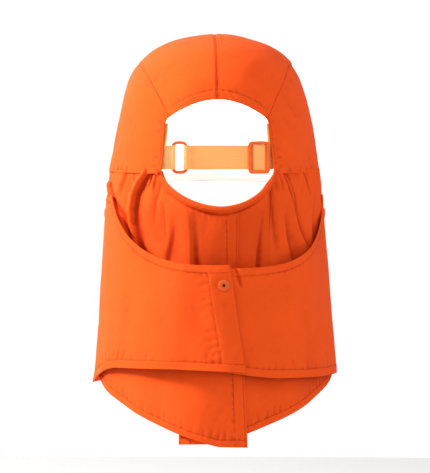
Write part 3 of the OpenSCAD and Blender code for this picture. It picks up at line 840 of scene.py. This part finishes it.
def cape_relief(side):
    def relief(u, v, P):
        su, su1, sv, _ = arcs(P)
        z, a = P[..., 2], angle_of(P)
        off, free = np.abs(a), su1 if side < 0 else su
        r = sum(shape(P, path, *sizes, **kw)
                for shape, path, *sizes, kw in (LEFT_FOLDS if side < 0 else RIGHT_FOLDS))
        # gathers where the cape meets the crown's hem
        g = (0.3 + 0.7 * gauss(off - 42, 10)) * smooth((off - 33.5) / 3)
        g = g * np.exp(-np.maximum(0, -z) / 8) * smooth((-z - 0.6) / 3)
        r = r + g * (0.7 * np.sin(a * 1.25 + 1.4 * np.sin(a * 0.31 + side)) + 0.30 * np.sin(a * 2.9 + 1.7 + 0.05 * z))
        # the veil draws the cape in under the crown
        below = neck_z(a) - z
        r = r - 8.5 * smooth((below - 3) / 60) * (1 - smooth((-z - 92) / 45)) * (1 - smooth((off - 50) / 32))
        r = r - 0.10 * crumple(tall(P, 0.35), 34, 9 + side)
        # the neckline's binding bears on the cloth
        bound = -0.9 * gauss(below - 6.6, 1.5) + 0.12 * gauss(below - 9, 3.5) * np.sin(a * 2.0 + 0.2 * z)
        r = r + bound * (off < 31)
        r = r + 0.7 * gauss(z + 17, 15) * smooth((off - 60) / 22)
        r = r + 3.4 * smooth((off - 55) / 22) * gauss(z + 182, 26)
        # the cloth hangs almost smooth below the veil
        low = smooth((-z - 110) / 50)
        r = r + fine(P) + 0.5 * wander(tall(P, 0.6), 46, 8 + side)
        r = r + low * 0.9 * wander(tall(P, 0.35), 60, 10 + side)
        r = r + low * (turned(sv, 5.2, 0.30, 1.2) + stitched(sv, CAPE_HEM_ROW, su) +
                       0.16 * gauss(sv - 9, 4.5) * ripple(su, 0.85, 2, 0.13))
        r = r + turned(free, 9.6, 0.28, 1.2) + stitched(free, CAPE_PLACKET_ROW, z)
        r = r + stitched(free, CAPE_EDGE_ROW, z, 0.05)
        return np.maximum(r, -14)
    return relief


def cape_point(u, v, side):
    a = mix(-CAPE_SIDE_A, 13, u if side < 0 else 1 - u)
    k = np.clip((a + 60) / 73, 0, 1) ** 3
    b = a + (cape_edge_a(cape_top_z(a), side) - 13) * k
    under = smooth((np.abs(b) - 33) / 3)
    z = mix(cape_bottom_z(a, side), cape_top_z(b if side < 0 else -b) + 2.4 * under, v)
    b = a + (cape_edge_a(z, side) - 13) * k
    tuck = 1.6 * smooth((z + 1.2) / 1.6) * under
    return on_cape(b if side < 0 else -b, z, tuck + (0 if side < 0 else lap(-b, LAP_CAPE)))


def cape(side, word):
    c = Cloth(lambda u, v: cape_point(u, v, side), 250, 230, cape_relief(side))
    # painted shadow in a band under the veil's hem, and painted shade over the cape where the veil covers it
    z, a = c.P[..., 2], angle_of(c.P)
    hem = veil_bottom_z(a if side < 0 else -a, side)
    covered = smooth((-z - 22) / 20) * (1 - smooth((-z - 100) / 30)) * smooth((a + 62) / 16)
    c.painted_shade = (c.painted_shade + 0.42 * gauss(np.maximum(0, hem - z), 10) * (1 - smooth((z - hem - 2) / 14)) +
                0.26 * covered * (1 - smooth((a - 24) / 14)))
    for row in (CAPE_EDGE_ROW, CAPE_PLACKET_ROW):
        cap_threads.on(c, c.along(row, last=side < 0), c.v)
    cap_threads.on(c, c.u, c.across(CAPE_HEM_ROW))
    return dress(c.mesh("cape_cloth_" + word, 1.0), "cloth", "cap",
                 ["cape_panel_" + word, "cape_placket_" + word, "cape_hem_" + word])


cape_l_piece, cape_r_piece = (cape(side, word) for side, word in SIDES)


# the binding of the neckline follows its edge
def neck_edge(a):
    return on_cape(a, cape_top_z(a) + 1.6 * smooth((np.abs(a) - 32.0) / 1.2))


def neck_band(nu, nv, width=5.4, lift=0.3, bulge=0.8):
    """A grid over a band hanging from the neckline; its second index runs from the lower side to the edge."""
    a = (OPEN_A + 0.9) * np.sin(np.linspace(-1, 1, nu + 1) * math.pi / 2)
    s = run_along(neck_edge(a))
    a = np.interp(np.linspace(0, s[-1], nu + 1), s, a)
    E, N = neck_edge(a), stack(np.sin(rad(a)), -np.cos(rad(a)), 0)
    B = unit(np.cross(N, unit(np.gradient(E, axis=0))))
    B = np.where(B[..., 2:3] > 0, -B, B)
    v = np.linspace(0, 1, nv + 1)[None, :, None]
    E, N, B = E[:, None, :], N[:, None, :], B[:, None, :]
    return E + B * (width * (1 - v) - 0.6) + N * (lift + bulge * (1 - (2 * v - 1) ** 4))


neck = Cloth(lambda u, v: neck_band(240, 16), 240, 16, lambda u, v, P: (
    0.05 * ripple(arcs(P)[0], 1.15, 1, 0.2, 2.0 * v) - 0.4 * gauss(v - 0.2, 0.07)))
cap_threads.on(neck, np.linspace(0, 1, 400), 0.2, pitch=2.5, length=1.8)
dress(neck.mesh("neckline_binding_cloth", 1.6), "binding", "cap", ["neckline_binding"])


# -------------------- face veil
def veil_point(u, v, side):
    s = mix(-180, 10, u if side < 0 else 1 - u)
    z = mix(veil_bottom_z(s, side), veil_top_z(s, side), v)
    b = s + (veil_edge_a(z, side) - 10) * np.clip((s + 40) / 50, 0, 1) ** 3
    return on_veil(b if side < 0 else -b, z, 0.0 if side < 0 else lap(-b, LAP_VEIL))


def veil_relief(side):
    def relief(u, v, P):
        su, su1, sv, sv1 = arcs(P)
        free = su1 if side < 0 else su
        a, x, z, behind = angle_of(P), P[..., 0], P[..., 2], P[..., 1] < 0
        r = 0.9 * wander(tall(P, 0.28), 70, 12 + side) + 0.28 * wander(tall(P, 0.28), 26, 14 + side)
        r = r - 0.12 * crumple(tall(P, 0.5), 56, 15 + side)
        r = r * smooth(sv / 12 + 0.35) * smooth(sv1 / 10 + 0.35) + fine(P)
        r = r + 0.20 * gauss(sv - 11, 5.0) * ripple(su, 0.8, 2.2, 0.11) * (0.4 + 0.6 * smooth(wander(P, 80, 25)))
        r = r + turned(sv, 6.4, 0.32) + stitched(sv, VEIL_HEM_ROW, su)
        r = r + turned(sv1, 5.8, 0.32) + stitched(sv1, VEIL_TOP_ROW, su, 0.11)
        inner = smooth((sv - 6) / 2) * smooth((sv1 - 5) / 2)
        if side < 0:
            placket = turned(free, 20.2, 0.30) + stitched(free, VEIL_PLACKET_ROW, z, 0.10, 7.5)
            r = r + inner * (placket + 0.09 * gauss(free - 26, 5) * ripple(z, 0.8, 1.8, 0.12, 0.25 * free))
            # the snap pulls a dimple
            d = np.linalg.norm(P[..., [0, 2]] - np.array([SNAP[0], SNAP[2]]), axis=-1)
            r = r + (0.3 * gauss(d - 11, 4) - 0.55 * gauss(d, 8.0)) * behind - 0.45 * gauss(free, 1.4)
        else:
            r = r + inner * stitched(free, VEIL_PLACKET_ROW, z, 0.1)
            r = r - 1.1 * gauss(x - 17.5 + 0.28 * (z + 92), 1.8) * smooth((z + 104) / 8) * behind
        # nose: a shallow dart at the middle of the front
        return r + 1.5 * gauss(180 - np.abs(a), 9) * smooth((z + 130) / 50)
    return relief


def veil(side, word):
    c = Cloth(lambda u, v: veil_point(u, v, side), 300, 120, veil_relief(side))
    threads = Threads()
    threads.on(c, c.u, c.across(VEIL_HEM_ROW))
    threads.on(c, c.u, c.across(VEIL_TOP_ROW, upper=True))
    v = np.linspace(0.075, 0.93, 200)
    threads.on(c, np.interp(v, c.v, c.along(VEIL_PLACKET_ROW, last=side < 0)), v)
    flap = "flap_" + word
    piece = dress(c.mesh("veil_cloth_" + word, 1.0), "cloth", None, [
        "veil_flap_" + word, flap + "_top_binding", flap + "_hem", flap + "_placket",
        "veil_front", "veil_front_top_binding", "veil_front_hem"])
    stitches = dress(threads.mesh("veil_stitches_" + word), "thread")
    for o in (piece, stitches):
        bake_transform(o)
    return piece, stitches


(veil_l_piece, veil_l_stitches), (veil_r_piece, veil_r_stitches) = (veil(side, word) for side, word in SIDES)


# -------------------- strap and its hardware
def rounded(path, r=1.2, n=6):
    """A polyline with its corners rounded."""
    p = np.array(path, float)
    out = [p[0]]
    for i in range(1, len(p) - 1):
        a, b, c = p[i - 1], p[i], p[i + 1]
        la, lc = np.linalg.norm(a - b), np.linalg.norm(c - b)
        k = min(r, 0.45 * la, 0.45 * lc)
        s, e = b + (a - b) / la * k, b + (c - b) / lc * k
        for t in np.linspace(0, 1, n):
            out.append(s * (1 - t) ** 2 + 2 * b * t * (1 - t) + e * t * t)
    out.append(p[-1])
    return np.array(out)


def ribbon(name, path, material, nodes, body="cap", height=21.0, t=0.9):
    """Webbing standing on edge along [x, distance behind the strap's plane] points."""
    p = rounded(path)
    s = run_along(p)
    nu, nv = max(8, int(s[-1] / 0.7)), 42
    x, v = np.linspace(0, s[-1], nu + 1), np.linspace(0, 1, nv + 1)
    q = np.stack([np.interp(x, s, p[:, 0]), np.interp(x, s, p[:, 1])], axis=-1)
    run = unit(np.gradient(q, axis=0))
    side = np.stack([-run[:, 1], run[:, 0]], axis=-1) * t / 2
    z = STRAP_Z - height / 2 + height * v
    # thinner at the selvedges, with the ribs of the weave between
    bulk = (1 - 0.35 * np.abs(2 * v - 1) ** 14) * (1 + 0.05 * np.cos(math.pi * 14 * v))

    def face(sign):
        w = q[:, None, :] + sign * side[:, None, :] * bulk[None, :, None]
        return stack(w[..., 0], -STRAP_Y - w[..., 1], z[None, :])
    weave = np.stack(np.broadcast_arrays(x[:, None], (v * height)[None, :]), axis=-1)
    o = shell(name, face(1), face(-1), weave)
    face_out(o)
    round_edges(o, 0.28)
    return dress(o, material, body, nodes)


# distances behind the strap's plane: its two layers, the middle between them, and the bight over the bar
FRONT_Q, BACK_Q, MID_Q, OVER = 0.45, -0.75, -0.15, 2.75
BIGHT = 9.2  # half the length of the bight
RUN_FROM, RUN_TO = RING_X + 13, SLIDER_X - BIGHT - 0.2


def loop(s, r=1.95):
    """The webbing's turn round one side of the ring."""
    return [[RING_X + s * (6 + r * math.cos(rad(k))), MID_Q + r * math.sin(rad(k))] for k in np.linspace(90, 270, 19)]


main_start = [[RUN_FROM + 0.9, FRONT_Q - 0.3], [RUN_FROM - 1.2, FRONT_Q], [RUN_FROM - 3, FRONT_Q + 0.2]]
main_end = [[RUN_FROM - 3, BACK_Q - 0.2], [RUN_FROM, BACK_Q], [44.5, BACK_Q], [46.5, -0.9], [58, -11.4]]
ribbon("strap_webbing_main", main_start + loop(1) + main_end, "web", ["strap_webbing"])
run = ribbon("strap_webbing_front_run", [[RUN_FROM - 0.7, FRONT_Q + 0.05], [RUN_TO + 0.2, FRONT_Q]],
             "web", ["strap_front_run"])
tab_start = [[-58, -11.3], [-48.4, -1.6], [-45.2, 0.35], [-42.5, 0.5]]
# the tab takes the lighter copy of the webbing: painted light
ribbon("strap_webbing_tab", tab_start + loop(-1) + [[-45.2, -1.9], [-57.1, -12.4]],
       "web_painted_light", ["strap_tab"])
half = [[BIGHT, FRONT_Q], [6.6, FRONT_Q], [6.0, FRONT_Q + 0.25], [4.9, OVER - 0.5], [3.7, OVER - 0.1], [1.5, OVER]]
ribbon("strap_webbing_bight", [[SLIDER_X - p[0], p[1]] for p in half] + [[SLIDER_X + p[0], p[1]] for p in half[::-1]],
       "web", ["strap_bight"], body="slide_buckle", height=22.0)


def round_rect(hw, hh, r, n=14):
    """Points and outward normals round a rectangle with rounded corners."""
    pts, nrm = [], []
    for cx, cz, a0 in ((1, 1, 0), (-1, 1, 90), (-1, -1, 180), (1, -1, 270)):
        for k in range(n + 1):
            t = math.radians(a0 + 90 * k / n)
            nrm.append((math.cos(t), math.sin(t)))
            pts.append((cx * (hw - r) + r * math.cos(t), cz * (hh - r) + r * math.sin(t)))
    G = np.concatenate([pts, nrm], axis=-1)
    # more points on the straight runs
    out = []
    for a, b in zip(G, np.roll(G, -1, axis=0)):
        k = max(1, int(np.linalg.norm((b - a)[:2]) / 0.9))
        out += [a * (1 - t) + b * t for t in np.arange(k) / k]
    out = np.array(out)
    return out[:, :2], unit(out[:, 2:])


def swept_frame(name, hw, hh, r, half_w, half_d, power, cx, q, m=20):
    """A closed frame round a rectangle with a rounded section, facing the back."""
    P, N = round_rect(hw, hh, r)
    t = 2 * math.pi * np.arange(m) / m
    w, d = (h * np.sign(k) * np.abs(k) ** (2 / power) for h, k in ((half_w, np.cos(t)), (half_d, np.sin(t))))
    x, z = (P[:, i, None] + N[:, i, None] * w for i in (0, 1))
    verts = stack(cx + x, -STRAP_Y - q - d, STRAP_Z + z).reshape(-1, 3) * MM
    faces = []
    for i in range(len(P)):
        j = (i + 1) % len(P)
        faces += [(i * m + k, j * m + k, j * m + (k + 1) % m, i * m + (k + 1) % m) for k in range(m)]
    o = mesh_object(name, verts, faces)
    face_out(o)
    return o


ring = swept_frame("strap_ring_moulded", 6.0, 12.85, 4.2, 1.42, 1.42, 2.0, RING_X, MID_Q)
dress(ring, "buckle", "cap", ["strap_ring"])
buckle = swept_frame("slide_buckle_frame", 7.9, 12.6, 1.9, 1.57, 1.6, 3.6, SLIDER_X, 2.7, 24)
dress(buckle, "buckle", "slide_buckle", ["slider_frame"])
# the oval bar that the bight goes over
turn, z = 2 * math.pi * np.arange(16) / 16, np.linspace(-12.2, 12.2, 25)[:, None]
points = stack(SLIDER_X + 1.5 * np.cos(turn), -STRAP_Y - 1.75 - 0.5 * np.sin(turn), STRAP_Z + z)
bar = mesh_object("slide_buckle_bar", points.reshape(-1, 3) * MM, tube_faces(0, 25, 16))
dress(bar, "buckle", "slide_buckle")

# bar tacks where the webbing's front layer is sewn to itself
tacks = Threads()


def tack(x, q, reach=9.6, n=9):
    """A zigzag of stitches up the webbing, as far as reach above and below its middle."""
    for k in range(n):
        at = np.array([x, -STRAP_Y - q, STRAP_Z + mix(-reach, reach, (k + 0.5) / n)])
        lean = unit(np.array([0.28 if k % 2 else -0.28, 0, 0.96]))
        tacks.stitch(at, np.array([0, -1.0, 0]), lean, 2 * reach / n * 0.95, 0.26, 0.5)


for x in (RUN_FROM - 4.2, RUN_FROM - 2.6):
    tack(x, FRONT_Q + 0.15)
dress(tacks.mesh("strap_tack_stitches"), "thread_pale", "cap", ["strap_bartacks"])


# -------------------- snaps
def lathe(name, profile, centre, axis, n=56):
    """profile is (radius, height along the axis) from the middle outwards and back."""
    ax = Vector(axis).normalized()
    x = ax.orthogonal().normalized()
    y = ax.cross(x)
    verts, faces, m = [], [], len(profile)
    for k in range(n):
        t, l = 2 * math.pi * k / n, (k + 1) % n
        verts += [(Vector(centre) + x * (r * math.cos(t)) + y * (r * math.sin(t)) + ax * h) * MM for r, h in profile]
        for i in range(m):
            j = (i + 1) % m
            if max(profile[i][0], profile[j][0]) > 0:
                faces.append((k * m + i, k * m + j, l * m + j, l * m + i))
    o = mesh_object(name, verts, faces)
    face_out(o, weld=True)
    smooth_shade(o, 40)
    return o


cap_profile = [(1.35, -1.7), (1.35, 0.85), (1.5, 1.1), (1.9, 1.28), (2.4, 1.18), (3.1, 1.12), (3.8, 1.22),
               (4.3, 1.25), (4.75, 1.0), (4.98, 0.6), (4.9, 0.15), (4.5, 0.02), (1.85, 0.0), (1.85, -1.7)]
hole_profile = [(0.0, 0.62), (1.34, 0.62), (1.34, 0.0), (0.0, 0.0)]
dress(lathe("snap_cap_disc", cap_profile, SNAP, (0, -1, 0)), "snap", "flap_left", ["snap_cap"])
# a near-black disc down in the cap's hole: painted shadow
dress(lathe("snap_cap_hole_shadow", hole_profile, SNAP, (0, -1, 0), 32), "snap_painted_shadow", "flap_left")
for name in ("snap_socket", "snap_stud", "snap_post"):
    cad_material(name, "metal")
dome = [(0.0, 1.35), (1.6, 1.3), (2.9, 1.1), (4.0, 0.85), (4.7, 0.6), (4.95, 0.3), (4.8, 0.08), (4.4, 0.0),
        (1.75, 0.0), (1.75, -4.6), (4.3, -4.7), (4.5, -5.2), (4.3, -5.9), (3.0, -6.1), (0.0, -6.15)]
for side, word in SIDES:
    disc = lathe("side_snap_disc_" + word, dome, (side * 95.35, 10.5, -40), (side, 0, 0))
    dress(disc, "snap", "cap", ["side_snap_" + word])

dress(cap_threads.mesh("cap_stitches"), "thread", "cap")
dress(pale_threads.mesh("lining_stitches"), "thread_pale", "cap")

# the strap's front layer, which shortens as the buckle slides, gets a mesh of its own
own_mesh(run)


# -------------------- floor, light and camera
grey = Nodes("studio_pale")
grey.put(grey.b, "Base Color", (0.42, 0.42, 0.42, 1))
FLOOR_Z = -0.30
corners = [(math.cos(rad(k)), math.sin(rad(k)), FLOOR_Z) for k in range(0, 360, 5)]
floor = mesh_object("studio_floor", corners, [tuple(range(72))], False)
floor.data.materials.append(grey.finish(0.9, 0.1))

# the surroundings light the cloth a little less brightly than the camera sees them
world = bpy.data.worlds.new("studio")
scene.world = world
world.use_nodes = True
nodes, links = world.node_tree.nodes, world.node_tree.links
nodes.clear()
out = nodes.new("ShaderNodeOutputWorld")
lit, seen = nodes.new("ShaderNodeBackground"), nodes.new("ShaderNodeBackground")
for node, colour, strength in ((lit, (1, 0.98, 0.95, 1), 0.84), (seen, (1, 1, 1, 1), 1.0)):
    node.inputs[0].default_value, node.inputs[1].default_value = colour, strength
ray, either = nodes.new("ShaderNodeLightPath"), nodes.new("ShaderNodeMixShader")
for k, socket in enumerate((ray.outputs["Is Camera Ray"], lit.outputs[0], seen.outputs[0])):
    links.new(socket, either.inputs[k])
links.new(either.outputs[0], out.inputs[0])


def area(name, at, to, size, power, colour=(1, 1, 1)):
    """A round soft light that the camera does not see."""
    d = bpy.data.lights.new(name, "AREA")
    d.shape, d.size, d.energy, d.color = "DISK", size, power, colour
    o = bpy.data.objects.new(name, d)
    o.location = at
    o.rotation_euler = (Vector(to) - Vector(at)).to_track_quat("-Z", "Y").to_euler()
    o.visible_camera = False
    scene.collection.objects.link(o)


area("key", (-1.86, -0.16, 1.10), (0, 0, -0.05), 0.55, 112, (1.0, 0.99, 0.97))
area("fill", (0.7, -2.1, 0.5), (0, 0, -0.06), 1.2, 10, (1, 0.98, 0.97))
area("right_fill", (2.0, -0.3, 0.1), (0, 0, -0.06), 0.9, 7, (1, 0.98, 0.96))
area("front_fill", (-0.9, 2.1, 0.9), (0, 0, -0.05), 1.2, 30)
area("inside", (0.0, -0.05, -0.03), (0, 0.1, 0.02), 0.07, 0.7, (1, 0.99, 0.97))

cam_data = bpy.data.cameras.new("camera")
cam_data.lens, cam_data.sensor_width, cam_data.sensor_fit = 1000, 36, "AUTO"
cam_data.clip_start, cam_data.clip_end = 0.05, 100
cam = bpy.data.objects.new("camera", cam_data)
scene.collection.objects.link(cam)
aim, away = Vector((0, 0, -0.0599)), 11.48
az, el = math.radians(-1.4), math.radians(1.75)
cam.location = aim + away * Vector((math.sin(az) * math.cos(el), -math.cos(az) * math.cos(el), math.sin(el)))
cam.rotation_euler = (aim - cam.location).to_track_quat("-Z", "Y").to_euler()
scene.camera = cam
scene.view_settings.view_transform = "Standard"
scene.view_settings.look = "None"
